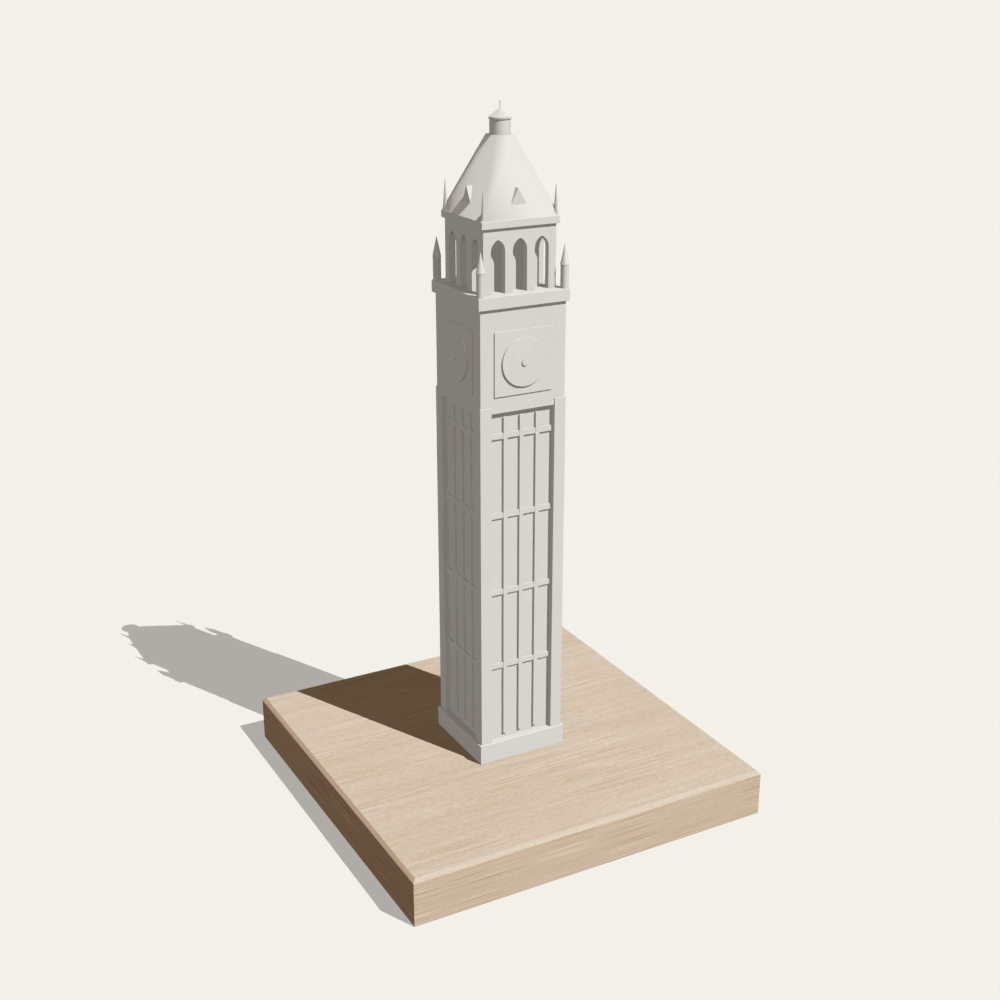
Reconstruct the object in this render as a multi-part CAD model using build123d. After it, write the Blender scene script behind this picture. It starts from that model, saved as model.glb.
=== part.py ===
from build123d import *
import os

# Scale model of a clock tower on a square wooden board.
# Sizes are in millimetres. The tower stands on the Z axis and its front faces -Y.

# Wooden board
board_side = 240.0
board_thickness = 30.5
board_chamfer = 2.2

# Plinth between the board and the shaft
plinth_side = 60.0
plinth_height = 12.9

# Shaft: corner piers with recessed walls between them
shaft_side = 57.3
pier_side = 7.55
pier_height = 219.3
shaft_wall_recess = 3.4
shaft_wall_thickness = 3.0

# Upright ribs and level bands on each recessed wall
mullion_count = 3
mullion_width = 2.6
mullion_depth = 1.4
mullion_spacing = 10.8
mullion_end_gap = 3.3
band_count = 4
band_height = 3.3
band_depth = 1.2
top_panel_height = 13.0

# Clock stage, with an apron that hangs between the pier heads on each side
clock_stage_side = 56.1
clock_stage_height = 57.7
apron_height = 4.0

# Raised square panel, dial and hub on each side of the clock stage
dial_height = 25.1
dial_panel_side = 38.4
dial_panel_depth = 0.8
dial_radius = 14.6
dial_depth = 1.1
dial_hub_radius = 2.0
dial_hub_depth = 0.8

# Gallery slab over the clock stage
gallery_side = 59.6
gallery_thickness = 7.2

# Belfry: four walls with pointed arches around a closed core
belfry_side = 47.2
belfry_height = 37.1
belfry_wall_thickness = 3.9
belfry_core_side = 33.0
arch_count = 3
arch_spacing = 14.15
arch_width = 9.1
arch_springing = 23.8
arch_radius = 7.3

# Pinnacles at the corners of the gallery
lower_pinnacle_offset = 27.3
lower_pinnacle_radius = 2.4
lower_pinnacle_height = 13.8
lower_spire_radius = 2.65
lower_spire_height = 11.7
spire_tip_radius = 0.15

# Eaves slab and roof
eaves_side = 50.3
eaves_thickness = 4.4
roof_base_side = 49.6
roof_top_side = 12.1
roof_height = 43.7

# Small gable on each roof slope
gablet_width = 10.0
gablet_rise = 9.1
gablet_front_offset = 21.6

# Pinnacles at the corners of the eaves
upper_pinnacle_offset = 23.3
upper_pinnacle_radius = 1.45
upper_pinnacle_height = 17.7
upper_pinnacle_sides = 12

# Lantern on top of the roof
drum_radius = 6.05
drum_height = 8.6
cap_radius = 6.6
cap_rim_thickness = 0.9
cap_height = 5.9
finial_radius = 0.3
finial_height = 3.9

# Level of the underside of each stage
plinth_base = board_thickness
shaft_base = plinth_base + plinth_height
clock_stage_base = shaft_base + pier_height
gallery_base = clock_stage_base + clock_stage_height
belfry_base = gallery_base + gallery_thickness
eaves_base = belfry_base + belfry_height
roof_base = eaves_base + eaves_thickness
drum_base = roof_base + roof_height
cap_base = drum_base + drum_height
finial_base = cap_base + cap_height

# Planes that the pieces on the sides of the tower seat against
pier_offset = (shaft_side - pier_side) / 2
bay_width = shaft_side - 2 * pier_side
shaft_wall_face = shaft_side / 2 - shaft_wall_recess
shaft_wall_top = clock_stage_base - apron_height
clock_stage_face = clock_stage_side / 2
dial_level = clock_stage_base + dial_height

# Quarter turns that carry a front piece, or a front left corner piece, round the tower
SIDES = {"front": 0, "right": 90, "back": 180, "left": 270}
CORNERS = {"front_left": 0, "front_right": 90, "back_right": 180, "back_left": 270}

UP_FROM_BASE = (Align.CENTER, Align.CENTER, Align.MIN)
OUT_FROM_FACE = (Align.CENTER, Align.MAX, Align.MIN)


def block(width, depth, height, base):
    """Block centred on the Z axis that stands on the level base."""
    return Pos(0, 0, base) * Box(width, depth, height, align=UP_FROM_BASE)


def slab_on_face(width, depth, height, centre_x, face, base):
    """Slab that stands out by depth from the vertical plane at face in front of the axis."""
    return Pos(centre_x, -face, base) * Box(width, depth, height, align=OUT_FROM_FACE)


def disc_on_face(radius, depth, face, level):
    """Disc that stands out by depth from the vertical plane at face in front of the axis."""
    plane = Plane(origin=(0, -face, level), z_dir=(0, -1, 0))
    return extrude(plane * Circle(radius), amount=depth)


def turned(shape, angle):
    """Copy of a piece on the front side, turned about the Z axis to another side."""
    return Rot(0, 0, angle) * shape


def one_per_quarter(shape):
    """One compound with four copies of a piece, a quarter turn apart."""
    return Compound(children=[turned(shape, angle) for angle in SIDES.values()])


def base_board():
    """Wooden board with its four top edges chamfered."""
    board = block(board_side, board_side, board_thickness, 0)
    top_edges = board.faces().sort_by(Axis.Z)[-1].edges()
    return chamfer(top_edges, board_chamfer)


def corner_pier():
    """Square pier at the front left corner of the shaft."""
    pier = block(pier_side, pier_side, pier_height, shaft_base)
    return Pos(-pier_offset, -pier_offset, 0) * pier


def shaft_wall():
    """Recessed wall between the two front piers."""
    inner_face = shaft_wall_face - shaft_wall_thickness
    return slab_on_face(bay_width, shaft_wall_thickness, pier_height, 0, inner_face, shaft_base)


def apron():
    """Strip under the clock stage between the two front pier heads."""
    depth = clock_stage_face - shaft_wall_face
    return slab_on_face(bay_width, depth, apron_height, 0, shaft_wall_face, shaft_wall_top)


def mullion_centres():
    """Distance of each mullion from the middle of its wall."""
    middle = (mullion_count - 1) / 2
    return [(index - middle) * mullion_spacing for index in range(mullion_count)]


def mullions():
    """Upright ribs of the front wall, which stop short of the plinth and of the apron."""
    base = shaft_base + mullion_end_gap
    height = shaft_wall_top - mullion_end_gap - base
    ribs = []
    for centre in mullion_centres():
        rib = slab_on_face(mullion_width, mullion_depth, height, centre, shaft_wall_face, base)
        ribs.append(rib)
    return Compound(children=ribs)


def band_levels():
    """Underside of each band of a wall, evenly spaced from the plinth to a short top panel."""
    top_level = shaft_wall_top - top_panel_height - band_height
    spacing = (top_level - shaft_base) / band_count
    return [shaft_base + (index + 1) * spacing for index in range(band_count)]


def bay_gaps():
    """Left and right limit of each gap between the piers and mullions of a wall."""
    edges = [-bay_width / 2]
    for centre in mullion_centres():
        edges.append(centre - mullion_width / 2)
        edges.append(centre + mullion_width / 2)
    edges.append(bay_width / 2)
    return list(zip(edges[::2], edges[1::2]))


def bands():
    """Level bands of the front wall, each cut into lengths that fit between the mullions."""
    lengths = []
    for level in band_levels():
        for left, right in bay_gaps():
            centre = (left + right) / 2
            width = right - left
            length = slab_on_face(width, band_depth, band_height, centre, shaft_wall_face, level)
            lengths.append(length)
    return Compound(children=lengths)


def dial_panel():
    """Raised square panel behind the front dial."""
    base = dial_level - dial_panel_side / 2
    return slab_on_face(dial_panel_side, dial_panel_depth, dial_panel_side, 0, clock_stage_face, base)


def dial():
    """Plain round dial of the front side."""
    return disc_on_face(dial_radius, dial_depth, clock_stage_face + dial_panel_depth, dial_level)


def dial_hub():
    """Small boss in the middle of the front dial."""
    face = clock_stage_face + dial_panel_depth + dial_depth
    return disc_on_face(dial_hub_radius, dial_hub_depth, face, dial_level)


def arch_opening():
    """Upright pointed opening that cuts through the front belfry wall at its middle."""
    arc_offset = arch_radius - arch_width / 2
    jambs = Rectangle(arch_width, arch_springing, align=(Align.CENTER, Align.MIN))
    left_arc = Pos(arc_offset, arch_springing) * Circle(arch_radius)
    right_arc = Pos(-arc_offset, arch_springing) * Circle(arch_radius)
    outline = jambs + (left_arc & right_arc)
    inner_face = belfry_side / 2 - belfry_wall_thickness
    plane = Plane(origin=(0, -inner_face, belfry_base), z_dir=(0, -1, 0), x_dir=(1, 0, 0))
    return extrude(plane * outline, amount=belfry_wall_thickness)


def belfry_wall():
    """Front belfry wall: it covers the front left corner and butts against the right wall."""
    width = belfry_side - belfry_wall_thickness
    inner_face = belfry_side / 2 - belfry_wall_thickness
    centre = -belfry_wall_thickness / 2
    wall = slab_on_face(width, belfry_wall_thickness, belfry_height, centre, inner_face, belfry_base)
    middle = (arch_count - 1) / 2
    for index in range(arch_count):
        wall -= Pos((index - middle) * arch_spacing, 0, 0) * arch_opening()
    return wall


def at_corner(shape, offset):
    """Piece moved from the Z axis to the front left corner at this distance from each face."""
    return Pos(-offset, -offset, 0) * shape


def lower_pinnacle():
    """Round post on the front left corner of the gallery."""
    post = Cylinder(lower_pinnacle_radius, lower_pinnacle_height, align=UP_FROM_BASE)
    return at_corner(Pos(0, 0, belfry_base) * post, lower_pinnacle_offset)


def lower_spire():
    """Pointed cap of the front left post."""
    spire = Cone(lower_spire_radius, spire_tip_radius, lower_spire_height, align=UP_FROM_BASE)
    base = belfry_base + lower_pinnacle_height
    return at_corner(Pos(0, 0, base) * spire, lower_pinnacle_offset)


def roof():
    """Steep square roof with a flat top for the lantern."""
    foot = Pos(0, 0, roof_base) * Rectangle(roof_base_side, roof_base_side)
    head = Pos(0, 0, drum_base) * Rectangle(roof_top_side, roof_top_side)
    return loft([foot, head])


def gablet():
    """Small gable that stands out of the front roof slope."""
    run_per_rise = (roof_base_side - roof_top_side) / 2 / roof_height
    base = roof_base + (roof_base_side / 2 - gablet_front_offset) / run_per_rise
    left = (-gablet_width / 2, 0)
    right = (gablet_width / 2, 0)
    outline = make_face(Polyline(left, right, (0, gablet_rise), left))
    plane = Plane(origin=(0, -gablet_front_offset, base), z_dir=(0, 1, 0), x_dir=(-1, 0, 0))
    return extrude(plane * outline, amount=gablet_front_offset / 2) - roof()


def upper_pinnacle():
    """Slim faceted spire at the front left corner of the eaves, cut to sit over the hip of the roof."""
    foot = Pos(0, 0, roof_base) * RegularPolygon(upper_pinnacle_radius, upper_pinnacle_sides)
    tip_level = roof_base + upper_pinnacle_height
    tip = Pos(0, 0, tip_level) * RegularPolygon(spire_tip_radius, upper_pinnacle_sides)
    return at_corner(loft([foot, tip]), upper_pinnacle_offset) - roof()


def lantern_drum():
    """Round drum on top of the roof."""
    return Pos(0, 0, drum_base) * Cylinder(drum_radius, drum_height, align=UP_FROM_BASE)


def lantern_cap():
    """Low pointed cap with a thin rim, cut flat at the top for the finial."""
    rim = Cylinder(cap_radius, cap_rim_thickness, align=UP_FROM_BASE)
    cone_height = cap_height - cap_rim_thickness
    cone = Cone(cap_radius, finial_radius, cone_height, align=UP_FROM_BASE)
    return Pos(0, 0, cap_base) * (rim + Pos(0, 0, cap_rim_thickness) * cone)


def finial():
    """Thin rod at the very top."""
    return Pos(0, 0, finial_base) * Cylinder(finial_radius, finial_height, align=UP_FROM_BASE)


def all_parts():
    """Every named piece of the model."""
    parts = {
        "base_board": base_board(),
        "tower_plinth": block(plinth_side, plinth_side, plinth_height, plinth_base),
        "clock_stage": block(clock_stage_side, clock_stage_side, clock_stage_height, clock_stage_base),
        "clock_stage_aprons": one_per_quarter(apron()),
        "dial_hubs": one_per_quarter(dial_hub()),
        "gallery_slab": block(gallery_side, gallery_side, gallery_thickness, gallery_base),
        "belfry_core": block(belfry_core_side, belfry_core_side, belfry_height, belfry_base),
        "lower_pinnacles": one_per_quarter(lower_pinnacle()),
        "lower_spires": one_per_quarter(lower_spire()),
        "eaves_slab": block(eaves_side, eaves_side, eaves_thickness, eaves_base),
        "roof": roof(),
        "roof_gablets": one_per_quarter(gablet()),
        "upper_pinnacles": one_per_quarter(upper_pinnacle()),
        "lantern_drum": lantern_drum(),
        "lantern_cap": lantern_cap(),
        "finial": finial(),
    }
    for corner, angle in CORNERS.items():
        parts[f"{corner}_pier"] = turned(corner_pier(), angle)
    for side, angle in SIDES.items():
        parts[f"{side}_shaft_wall"] = turned(shaft_wall(), angle)
        parts[f"{side}_mullions"] = turned(mullions(), angle)
        parts[f"{side}_bands"] = turned(bands(), angle)
        parts[f"{side}_dial_panel"] = turned(dial_panel(), angle)
        parts[f"{side}_dial"] = turned(dial(), angle)
        parts[f"{side}_belfry_wall"] = turned(belfry_wall(), angle)
    return parts


os.makedirs("parts", exist_ok=True)
for name, shape in all_parts().items():
    export_step(shape, f"parts/{name}.step")
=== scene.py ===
"""Looks of the clock tower scale model: sprayed paint, oiled beech, softened edges, spires and studio."""

import math

import bmesh
import bpy
from mathutils import Matrix, Vector


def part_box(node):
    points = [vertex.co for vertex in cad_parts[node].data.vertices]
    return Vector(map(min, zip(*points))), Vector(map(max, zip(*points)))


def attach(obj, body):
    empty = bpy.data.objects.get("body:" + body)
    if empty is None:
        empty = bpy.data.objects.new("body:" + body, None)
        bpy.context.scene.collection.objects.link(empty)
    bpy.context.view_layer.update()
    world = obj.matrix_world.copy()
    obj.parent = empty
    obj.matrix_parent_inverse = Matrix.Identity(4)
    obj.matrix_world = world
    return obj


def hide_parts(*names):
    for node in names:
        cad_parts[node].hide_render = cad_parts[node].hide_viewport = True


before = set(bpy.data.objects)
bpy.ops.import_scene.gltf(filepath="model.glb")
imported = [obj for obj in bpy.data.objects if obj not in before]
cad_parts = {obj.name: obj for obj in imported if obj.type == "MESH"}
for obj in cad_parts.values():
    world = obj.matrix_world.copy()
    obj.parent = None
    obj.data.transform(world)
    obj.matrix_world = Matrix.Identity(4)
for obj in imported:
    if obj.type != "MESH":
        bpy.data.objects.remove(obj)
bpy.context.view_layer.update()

MM = 0.001
BODY = "root"
SIDES = ("front", "right", "back", "left")
CORNERS = ("front_left", "front_right", "back_right", "back_left")


# ---------------------------------------------------------------- sizes read from the frame

def low(name):
    """Lowest corner of a CAD node."""
    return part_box(name)[0]


def high(name):
    """Highest corner of a CAD node."""
    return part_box(name)[1]


# ---------------------------------------------------------------- materials

# A noise pattern mostly lies between these two values.
NOISE_LOW = 0.3
NOISE_HIGH = 0.7


def linear(hex_colour):
    """Linear RGBA of an sRGB hex colour."""
    channels = [int(hex_colour[start:start + 2], 16) / 255 for start in (1, 3, 5)]
    return [c / 12.92 if c <= 0.04045 else ((c + 0.055) / 1.055) ** 2.4 for c in channels] + [1.0]


def add(tree, kind, inputs=None, **settings):
    """Adds a node with its settings, gives each input a value or a link, and returns its outputs."""
    node = tree.nodes.new(kind)
    for name, value in settings.items():
        setattr(node, name, value)
    for socket, value in (inputs or {}).items():
        if isinstance(value, bpy.types.NodeSocket):
            tree.links.new(value, node.inputs[socket])
        else:
            node.inputs[socket].default_value = value
    return node.outputs


def per_metre(size_mm):
    """Pattern scale for features of this size in millimetres."""
    return 1 / (size_mm * MM)


def new_material(name):
    """Material with an empty node tree."""
    material = bpy.data.materials.new(name)
    material.use_nodes = True
    material.node_tree.nodes.clear()
    return material, material.node_tree


def matt_sprayed_lacquer(name, film_colour, thin_colour, dryness):
    """Matt acrylic lacquer sprayed over a sanded model.

    The eye sees one even, pale warm grey. Close up the film is a little thinner and lighter in
    clouds a few centimetres wide, the matting agent gives a fine grain, and the spray leaves a
    soft orange peel that only breaks up the sheen. A drier coat shades more evenly round a bend.
    """
    material, tree = new_material(name)
    place = add(tree, "ShaderNodeTexCoord")["Object"]
    clouds = add(tree, "ShaderNodeTexNoise", {"Vector": place, "Scale": per_metre(28), "Detail": 3.0})
    # The real grain is about 0.05 mm. It is drawn at 0.5 mm so that it shows.
    grain = add(tree, "ShaderNodeTexNoise", {"Vector": place, "Scale": per_metre(0.5), "Detail": 2.0})
    thinness = add(tree, "ShaderNodeMapRange", {
        "Value": clouds["Fac"], "From Min": NOISE_LOW, "From Max": NOISE_HIGH})
    film = add(tree, "ShaderNodeMixRGB", {
        "Fac": thinness["Result"], "Color1": linear(film_colour), "Color2": linear(thin_colour)})
    speckle = add(tree, "ShaderNodeMapRange", {
        "Value": grain["Fac"], "From Min": NOISE_LOW, "From Max": NOISE_HIGH,
        "To Min": 0.985, "To Max": 1.015})
    colour = add(tree, "ShaderNodeVectorMath", {
        0: film["Color"], "Scale": speckle["Result"]}, operation="SCALE")
    sheen = add(tree, "ShaderNodeMapRange", {
        "Value": grain["Fac"], "From Min": NOISE_LOW, "From Max": NOISE_HIGH,
        "To Min": 0.68, "To Max": 0.8})
    # Orange peel of sprayed lacquer: waves about 0.8 mm across and a few microns high.
    peel = add(tree, "ShaderNodeTexNoise", {"Vector": place, "Scale": per_metre(0.8), "Detail": 1.0})
    bump = add(tree, "ShaderNodeBump", {
        "Height": peel["Fac"], "Strength": 0.35, "Distance": 0.02 * MM})
    shader = add(tree, "ShaderNodeBsdfPrincipled", {
        "Base Color": colour["Vector"],
        "Roughness": sheen["Result"],
        "IOR": 1.47,
        "Specular IOR Level": 0.1,
        "Diffuse Roughness": dryness,
        "Normal": bump["Normal"]})
    add(tree, "ShaderNodeOutputMaterial", {"Surface": shader["BSDF"]})
    return material


# The board's faces are told apart by how far they face along an axis, from 0 to 1.
UPRIGHT = 0.9
SLANTED = 0.5
EDGE_CLOSENESS = 3.0


def board_faces(tree):
    """Place with the grain along its first axis, and one for each kind of face of the board's edges.

    The grain of the top runs along X, and the grain of each edge runs along that edge. The lines of
    an edge are closer, because it cuts across the growth layers. The front and the back are alike,
    and so are the two sides. The chamfers are told apart from the upright faces below them.
    """
    coordinates = add(tree, "ShaderNodeTexCoord")
    place = add(tree, "ShaderNodeSeparateXYZ", {"Vector": coordinates["Object"]})
    outward = add(tree, "ShaderNodeVectorMath", {0: coordinates["Normal"]}, operation="ABSOLUTE")
    facing = add(tree, "ShaderNodeSeparateXYZ", {"Vector": outward["Vector"]})
    height = add(tree, "ShaderNodeMath", {0: place["Z"], 1: EDGE_CLOSENESS}, operation="MULTIPLY")
    grain_place = coordinates["Object"]
    faces = {}
    for name, along, through in (("front", "X", "Y"), ("side", "Y", "X")):
        upright = add(tree, "ShaderNodeMath", {
            0: facing[through], 1: UPRIGHT}, operation="GREATER_THAN")
        edge = add(tree, "ShaderNodeMath", {
            0: facing[through], 1: SLANTED}, operation="GREATER_THAN")
        chamfer = add(tree, "ShaderNodeMath", {
            0: edge["Value"], 1: upright["Value"]}, operation="SUBTRACT")
        turned = add(tree, "ShaderNodeCombineXYZ", {
            "X": place[along], "Y": height["Value"], "Z": place[through]})
        grain_place = add(tree, "ShaderNodeMixRGB", {
            "Fac": edge["Value"], "Color1": grain_place, "Color2": turned["Vector"]})["Color"]
        faces[name] = upright["Value"]
        faces[name + "_chamfer"] = chamfer["Value"]
    return grain_place, faces


# The wood's figure runs from 0, the dark tone, to 1, the pale one. The fibres alone fill this part of it.
FIBRE_LOW = 0.35
FIBRE_HIGH = 0.65


def oiled_beech():
    """Pale beech, finely sanded and finished with matt oil, with painted shade on its side edges.

    The eye sees a pale pinkish straw, with broad soft bands, straight growth lines that gather in
    places, short fibres, and a few brown flecks along the grain. Where the wood is darker it is
    also browner. The oil leaves the surface open and keeps the sheen low. Each kind of face also
    gets a tint of painted light and shade for the way the lamps fall on it: the sides are painted
    darker and browner as shade, the front and back a little darker, the chamfers at the front and
    back a little greyer, and those at the sides a little warmer.
    """
    material, tree = new_material("pale_beech_matt_oiled")
    place, faces = board_faces(tree)

    def streaks(length, width, detail, least, most, used=(NOISE_LOW, NOISE_HIGH)):
        """Pattern drawn out along the grain, this long and wide in millimetres.

        Its values lie between least and most, which the used part of the noise is stretched to.
        """
        scales = [per_metre(length), per_metre(width), per_metre(width)]
        drawn_out = add(tree, "ShaderNodeVectorMath", {0: place, 1: scales}, operation="MULTIPLY")
        noise = add(tree, "ShaderNodeTexNoise", {
            "Vector": drawn_out["Vector"], "Scale": 1.0, "Detail": detail})
        return add(tree, "ShaderNodeMapRange", {
            "Value": noise["Fac"], "From Min": used[0], "From Max": used[1],
            "To Min": least, "To Max": most})["Result"]

    areas = streaks(160, 40, 0.0, -0.05, 0.05)
    bands = streaks(300, 7, 1.0, -0.06, 0.06)
    growth = streaks(50, 1.5, 2.0, -0.18, 0.18)
    gathering = streaks(90, 24, 0.0, 0.4, 1.5, used=(0.4, 0.6))
    # The fibres are about 0.2 mm wide. They are drawn 1 mm wide so that they show.
    fibres = streaks(3, 1.0, 1.0, FIBRE_LOW, FIBRE_HIGH)
    # The flecks are 0.3 mm wide and 3 mm long. They are drawn 0.6 mm wide so that they show.
    flecks = streaks(4, 0.6, 1.0, 0.0, 1.0, used=(0.62, 0.72))

    # On the edges the growth lines stand out more, and the broad tones less.
    breadth, sharpness = 1.0, 1.0
    for face, sharper in (("front", 2.2), ("side", 6.0)):
        breadth = add(tree, "ShaderNodeMath", {
            0: faces[face], 1: -0.4, 2: breadth}, operation="MULTIPLY_ADD")["Value"]
        sharpness = add(tree, "ShaderNodeMath", {
            0: faces[face], 1: sharper, 2: sharpness}, operation="MULTIPLY_ADD")["Value"]
    gathered = add(tree, "ShaderNodeMath", {0: growth, 1: gathering}, operation="MULTIPLY")["Value"]
    figure = fibres
    for pattern, strength in ((areas, breadth), (bands, breadth), (gathered, sharpness)):
        figure = add(tree, "ShaderNodeMath", {
            0: pattern, 1: strength, 2: figure}, operation="MULTIPLY_ADD")["Value"]

    wood = add(tree, "ShaderNodeMixRGB", {
        "Fac": figure, "Color1": linear("#BDAA91"), "Color2": linear("#DCD3C5")})["Color"]
    # Painted light and shade: each kind of face is tinted for the way the lamps fall on it. The sides are
    # painted darker and browner as shade, the front and back a little darker and warmer, the front and back
    # chamfers greyer, and the side chamfers warmer.
    painted_shade_tints = {
        "front_chamfer": "#EBF0F4", "side_chamfer": "#FEF3E9",
        "front": "#FDF6EE", "side": "#D0B7A3"}
    for face, shade_tint in painted_shade_tints.items():
        wood = add(tree, "ShaderNodeMixRGB", {
            "Fac": faces[face], "Color1": wood, "Color2": linear(shade_tint)}, blend_type="MULTIPLY")["Color"]
    fleck_share = add(tree, "ShaderNodeMath", {0: flecks, 1: 0.12}, operation="MULTIPLY")
    colour = add(tree, "ShaderNodeMixRGB", {
        "Fac": fleck_share["Value"], "Color1": wood, "Color2": linear("#8A6A48")})
    roughness = add(tree, "ShaderNodeMapRange", {
        "Value": fibres, "From Min": FIBRE_LOW, "From Max": FIBRE_HIGH, "To Min": 0.64, "To Max": 0.78})
    # Between the fibres, and in the flecks, the surface lies a hair lower.
    relief = add(tree, "ShaderNodeMath", {0: flecks, 1: -0.75, 2: fibres}, operation="MULTIPLY_ADD")
    bump = add(tree, "ShaderNodeBump", {
        "Height": relief["Value"], "Strength": 0.3, "Distance": 0.04 * MM})
    shader = add(tree, "ShaderNodeBsdfPrincipled", {
        "Base Color": colour["Color"],
        "Roughness": roughness["Result"],
        "IOR": 1.5,
        "Specular IOR Level": 0.03,
        "Normal": bump["Normal"]})
    add(tree, "ShaderNodeOutputMaterial", {"Surface": shader["BSDF"]})
    return material


def seen_rays(tree):
    """One for rays that show a surface to the eye, straight or in gloss or glass, and nought for others."""
    rays = add(tree, "ShaderNodeLightPath")
    seen = rays["Is Camera Ray"]
    for kind in ("Is Glossy Ray", "Is Transmission Ray"):
        seen = add(tree, "ShaderNodeMath", {0: seen, 1: rays[kind]}, operation="MAXIMUM")["Value"]
    return seen


def studio_paper():
    """Matt paper for the floor. It looks pale, and keeps the shadow of the model."""
    material, tree = new_material("studio_paper_floor")
    paper = add(tree, "ShaderNodeBsdfDiffuse", {"Color": linear("#BEBDB7")})
    glow = add(tree, "ShaderNodeEmission", {"Color": linear("#FCFEFF"), "Strength": 0.3486})
    pale = add(tree, "ShaderNodeAddShader", {0: paper["BSDF"], 1: glow["Emission"]})
    both = add(tree, "ShaderNodeMixShader", {
        "Fac": seen_rays(tree), 1: paper["BSDF"], 2: pale["Shader"]})
    add(tree, "ShaderNodeOutputMaterial", {"Surface": both["Shader"]})
    return material


# ---------------------------------------------------------------- pieces

# Edges that turn less than FLAT lie in one face, and those that turn more than CURVED stay crisp.
FLAT = math.radians(0.5)
CURVED = math.radians(10)
CORNER = math.radians(35)
SAME_PLACE = 0.002 * MM


def finish_piece(name, bm, material, nodes):
    """Turns a bmesh into a piece that rides on the model and stands for CAD nodes."""
    mesh = bpy.data.meshes.new(name)
    bm.to_mesh(mesh)
    bm.free()
    mesh.materials.append(material)
    piece = bpy.data.objects.new(name, mesh)
    bpy.context.scene.collection.objects.link(piece)
    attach(piece, BODY)
    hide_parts(*nodes)
    return piece


def shade_smoothly(bm, crisp_angle):
    """Shades every face smoothly, but keeps the edges crisp that turn more than this."""
    for face in bm.faces:
        face.smooth = True
    for edge in bm.edges:
        edge.smooth = edge.calc_face_angle(0) <= crisp_angle


def paint(names, material):
    """Gives CAD nodes a material."""
    for name in names:
        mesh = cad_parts[name].data
        mesh.materials.clear()
        mesh.materials.append(material)


def soften(name, rounding_mm, material):
    """Copy of a CAD node whose sharp edges are rounded by a hair, as sanding and paint leave them."""
    bm = bmesh.new()
    bm.from_mesh(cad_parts[name].data)
    bmesh.ops.remove_doubles(bm, verts=bm.verts, dist=SAME_PLACE)
    bmesh.ops.dissolve_limit(bm, angle_limit=FLAT, verts=bm.verts, edges=bm.edges)
    corners = [edge for edge in bm.edges if edge.calc_face_angle(0) > CORNER]
    bmesh.ops.bevel(
        bm, geom=corners, offset=rounding_mm * MM, offset_type="OFFSET", segments=2, profile=0.5,
        affect="EDGES", material=-1, clamp_overlap=True)
    shade_smoothly(bm, CURVED)
    finish_piece(name + "_softened", bm, material, [name])


def split_slope(bm, slope):
    """Cuts a roof slope in two from its left foot corner to its right head corner, seen from outside."""
    outward = slope.normal.copy()
    outward.z = 0
    rightward = (-outward).cross(Vector((0, 0, 1)))
    corners = sorted(slope.verts, key=lambda vert: vert.co.z)
    foot, head = corners[:2], corners[2:]
    left_foot = min(foot, key=lambda vert: vert.co.dot(rightward))
    right_head = max(head, key=lambda vert: vert.co.dot(rightward))
    bmesh.ops.connect_vert_pair(bm, verts=[left_foot, right_head])


# The flat foot and the flat top of the roof face up or down by more than this.
LEVEL = 0.9
SLOPE_CUTS = 31


def roof_slopes(material):
    """Steep square roof whose hips shade soft, with a crisp foot and a crisp flat top.

    Each corner of the roof shades halfway between its two slopes, and the shade runs evenly between
    the corners. The slopes are cut into small faces, so that the small gables cast their shadows.
    """
    foot, head = low("roof"), high("roof")
    foot_side = head.x - foot.x
    head_side = high("lantern_drum").x * 2
    bm = bmesh.new()
    bmesh.ops.create_cone(
        bm, cap_ends=True, segments=4, radius1=foot_side / math.sqrt(2),
        radius2=head_side / math.sqrt(2), depth=head.z - foot.z)
    bmesh.ops.rotate(bm, verts=bm.verts, matrix=Matrix.Rotation(math.pi / 4, 3, "Z"))
    bmesh.ops.translate(bm, verts=bm.verts, vec=(0, 0, (foot.z + head.z) / 2))
    bm.normal_update()
    slopes = [face for face in bm.faces if abs(face.normal.z) < LEVEL]
    soft = bm.verts.layers.float_vector.new("soft_normal")
    for vert in bm.verts:
        vert[soft] = sum((slope.normal for slope in slopes if vert in slope.verts), Vector()).normalized()
    for slope in slopes:
        split_slope(bm, slope)
    bmesh.ops.subdivide_edges(bm, edges=bm.edges, cuts=SLOPE_CUTS, use_grid_fill=True)
    mesh = finish_piece("roof_slopes", bm, material, ["roof"]).data
    shades = mesh.attributes["soft_normal"]
    mesh.normals_split_custom_set([
        face.normal if abs(face.normal.z) > LEVEL else shades.data[index].vector.normalized()
        for face in mesh.polygons for index in face.vertices])
    mesh.attributes.remove(shades)


SPIRE_RADIUS = 1.45 * MM
SPIRE_TIP_RADIUS = 0.15 * MM
SPIRE_STEPS = 24


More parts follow.
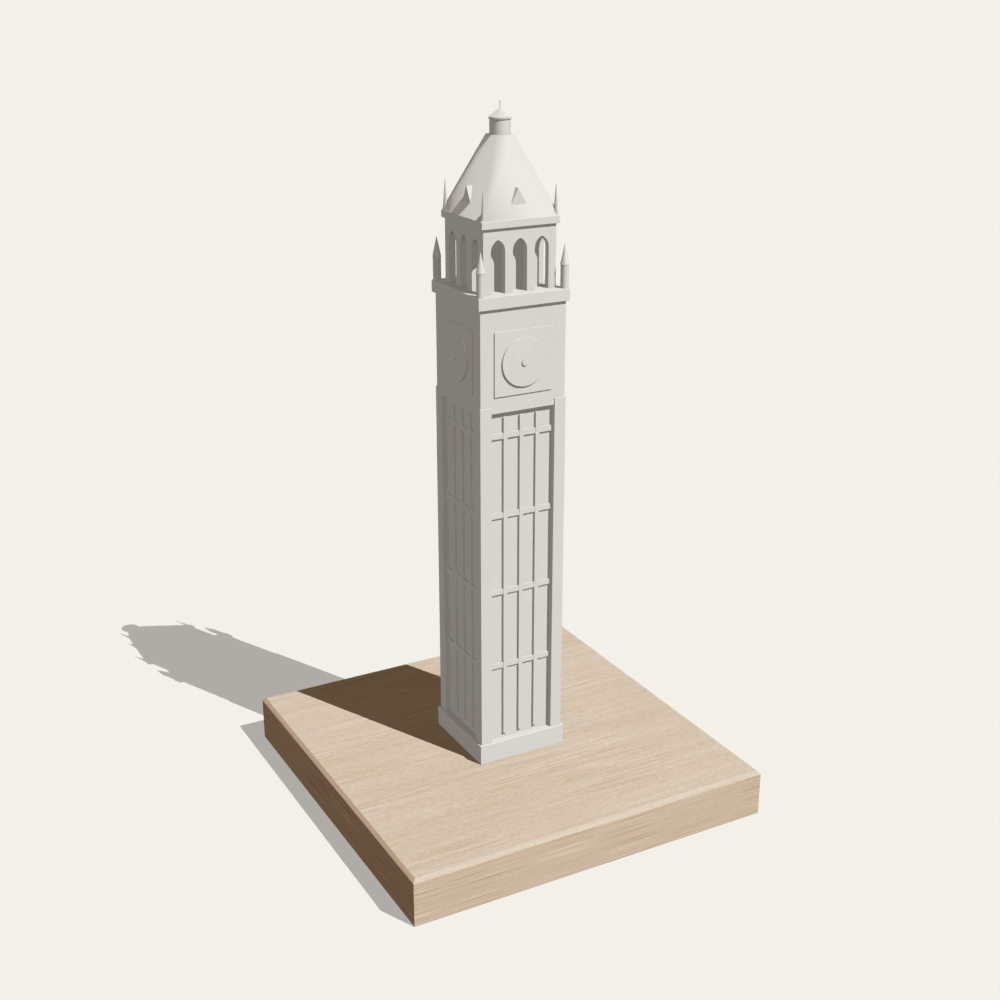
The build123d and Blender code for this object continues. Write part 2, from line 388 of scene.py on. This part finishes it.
def corner_spires(material):
    """Slim round spires that stand on the corners of the eaves, against the foot of the roof."""
    foot_level = high("eaves_slab").z
    tip_level = high("upper_pinnacles").z
    offset = high("upper_pinnacles").x - SPIRE_RADIUS
    outline = [
        (0, foot_level),
        (SPIRE_RADIUS, foot_level),
        (SPIRE_TIP_RADIUS, tip_level - SPIRE_TIP_RADIUS),
        (0, tip_level)]
    bm = bmesh.new()
    verts = [bm.verts.new((radius, 0, level)) for radius, level in outline]
    edges = [bm.edges.new(pair) for pair in zip(verts, verts[1:])]
    bmesh.ops.spin(
        bm, geom=verts + edges, axis=(0, 0, 1), cent=(0, 0, 0), angle=2 * math.pi,
        steps=SPIRE_STEPS, use_merge=True)
    bmesh.ops.remove_doubles(bm, verts=bm.verts, dist=SAME_PLACE)
    bmesh.ops.translate(bm, verts=bm.verts, vec=(offset, offset, 0))
    first_spire = list(bm.verts) + list(bm.edges) + list(bm.faces)
    for quarter in (1, 2, 3):
        copy = bmesh.ops.duplicate(bm, geom=first_spire)["geom"]
        bmesh.ops.rotate(
            bm, verts=[part for part in copy if isinstance(part, bmesh.types.BMVert)],
            matrix=Matrix.Rotation(quarter * math.pi / 2, 3, "Z"))
    bmesh.ops.recalc_face_normals(bm, faces=bm.faces)
    shade_smoothly(bm, CORNER)
    finish_piece("corner_spires", bm, material, ["upper_pinnacles"])


# ---------------------------------------------------------------- studio

# In metres
FLOOR_REACH = 60
CEILING_HEIGHT = 120
CEILING_LAMP_WIDTH = 2

# Spread of the sun lamps in degrees. The key is the narrowest and gives crisp shadows.
KEY_SPREAD = 0.1
FILL_SPREAD = 2
BACK_SPREAD = 3

# Each lamp has the direction that its light comes from, and its red, green and blue light.
KEY_TOWARDS = (0.276, -0.598, 0.752)
KEY_LIGHT = (1.208, 1.208, 1.208)
BACK_TOWARDS = (0.5, 1, 0)
BACK_LIGHT = (0.24, 0.232, 0.224)

# Even light from all round, which leaves no dark corners. It is strongest at the side away from the key.
FILL_RING = {
    "front_left_fill": ((-1, -1, 0), 0.2565),
    "front_right_fill": ((1, -1, 0), 0.13),
    "back_right_fill": ((1, 1, 0), 0.2),
    "back_left_fill": ((-1, 1, 0), 0.18)}
FILL_TONE = (1.0, 0.943, 0.873)

# Even light from above. The board takes a warmer and weaker one than the painted tower.
BOARD_TOP_FILL = (0.175, 0.127, 0.088)
PAINT_TOP_FILL = (0.241, 0.224, 0.203)

CAMERA_PLACE = (-0.40312, -0.73705, 0.51026)
CAMERA_TARGET = (0, 0, 0.193)
CAMERA_LENS_MM = 52.58


def studio_floor(material):
    """Large plain floor that takes the shadow of the model."""
    mesh = bpy.data.meshes.new("studio_floor")
    bm = bmesh.new()
    bmesh.ops.create_grid(bm, x_segments=1, y_segments=1, size=FLOOR_REACH)
    bm.to_mesh(mesh)
    bm.free()
    mesh.materials.append(material)
    floor = bpy.data.objects.new("studio_floor", mesh)
    bpy.context.scene.collection.objects.link(floor)
    return floor


def hang(name, lamp, light, place, towards, casts_shadow):
    """Puts a lamp in the studio, turned so that its light comes from this direction."""
    lamp.color = light
    lamp.use_shadow = casts_shadow
    holder = bpy.data.objects.new(name, lamp)
    holder.location = place
    holder.rotation_euler = Vector(towards).to_track_quat("Z", "Y").to_euler()
    bpy.context.scene.collection.objects.link(holder)
    return holder


def sun(name, towards, light, spread, casts_shadow=True):
    """Lamp whose light comes from this direction, with this spread in degrees.

    Light of 1 in each colour shows a surface that faces the lamp in the colour it is written in.
    """
    lamp = bpy.data.lights.new(name, "SUN")
    lamp.energy = math.pi
    lamp.angle = math.radians(spread)
    hang(name, lamp, light, (0, 0, 0), towards, casts_shadow)


def ceiling_light(name, light, pieces):
    """High round lamp over the model that lights some pieces alone, and leaves no shadow.

    Its light is written as that of the sun lamps.
    """
    lamp = bpy.data.lights.new(name, "AREA")
    lamp.shape = "DISK"
    lamp.size = CEILING_LAMP_WIDTH
    lamp.energy = math.pi ** 2 * CEILING_HEIGHT ** 2
    holder = hang(name, lamp, light, (0, 0, CEILING_HEIGHT), (0, 0, 1), False)
    lit = bpy.data.collections.new(name + "_pieces")
    for piece in pieces:
        lit.objects.link(piece)
    holder.light_linking.receiver_collection = lit


def lamps(floor):
    """Hard key from the front right, soft light from the back, and even light with no shadow."""
    sun("key", KEY_TOWARDS, KEY_LIGHT, KEY_SPREAD)
    for name, (towards, strength) in FILL_RING.items():
        sun(name, towards, [strength * part for part in FILL_TONE], FILL_SPREAD, casts_shadow=False)
    sun("back_light", BACK_TOWARDS, BACK_LIGHT, BACK_SPREAD)
    board_and_floor = [bpy.data.objects["base_board_softened"], floor]
    painted = [piece for piece in bpy.data.objects if piece.type == "MESH" and piece not in board_and_floor]
    ceiling_light("top_fill_board", BOARD_TOP_FILL, board_and_floor)
    ceiling_light("top_fill_paint", PAINT_TOP_FILL, painted)


def surroundings(background):
    """Pale background that is seen, straight or in the sheen, and gives no light of its own."""
    world = bpy.data.worlds.new("studio")
    world.use_nodes = True
    tree = world.node_tree
    tree.nodes.clear()
    pale = add(tree, "ShaderNodeBackground", {"Color": linear(background), "Strength": seen_rays(tree)})
    add(tree, "ShaderNodeOutputWorld", {"Surface": pale["Background"]})
    bpy.context.scene.world = world


def camera():
    """Camera above and to the left of the front."""
    lens = bpy.data.cameras.new("camera")
    lens.lens = CAMERA_LENS_MM
    lens.clip_end = 2 * FLOOR_REACH
    holder = bpy.data.objects.new("camera", lens)
    holder.location = CAMERA_PLACE
    view = Vector(CAMERA_TARGET) - holder.location
    holder.rotation_euler = view.to_track_quat("-Z", "Y").to_euler()
    bpy.context.scene.collection.objects.link(holder)
    bpy.context.scene.camera = holder


# ---------------------------------------------------------------- the model

beech = oiled_beech()
tower_paint = matt_sprayed_lacquer("matt_lacquer_tower", "#D6D4D1", "#D8D7D4", 0.0)
# The roof lacquer is the tower's paint made darker as painted shade, which holds down its brightly lit
# slopes. The gablets' copy is the tower's paint made a little lighter, so that their lit faces keep its
# tone under the drier coat.
darkened_roof_paint = matt_sprayed_lacquer("matt_lacquer_roof_darkened", "#CECCC9", "#D0CECB", 0.6)
gablet_paint = matt_sprayed_lacquer("matt_lacquer_gablets", "#D8D6D3", "#DAD8D5", 0.6)

paint(sorted(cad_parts), tower_paint)
paint(["base_board"], beech)
paint(["roof", "upper_pinnacles", "lantern_cap"], darkened_roof_paint)
paint(["roof_gablets"], gablet_paint)

soften("base_board", 0.35, beech)
for slab in ("tower_plinth", "gallery_slab", "eaves_slab"):
    soften(slab, 0.2, tower_paint)
for corner in CORNERS:
    soften(f"{corner}_pier", 0.15, tower_paint)
for side in SIDES:
    for part in ("belfry_wall", "dial_panel", "dial"):
        soften(f"{side}_{part}", 0.12, tower_paint)

roof_slopes(darkened_roof_paint)
corner_spires(darkened_roof_paint)

lamps(studio_floor(studio_paper()))
surroundings("#F3F0E8")
camera()
# The tower and the floor send no light on to each other, so every side keeps its even tone.
bpy.context.scene.cycles.diffuse_bounces = 0
bpy.context.scene.view_settings.view_transform = "Standard"
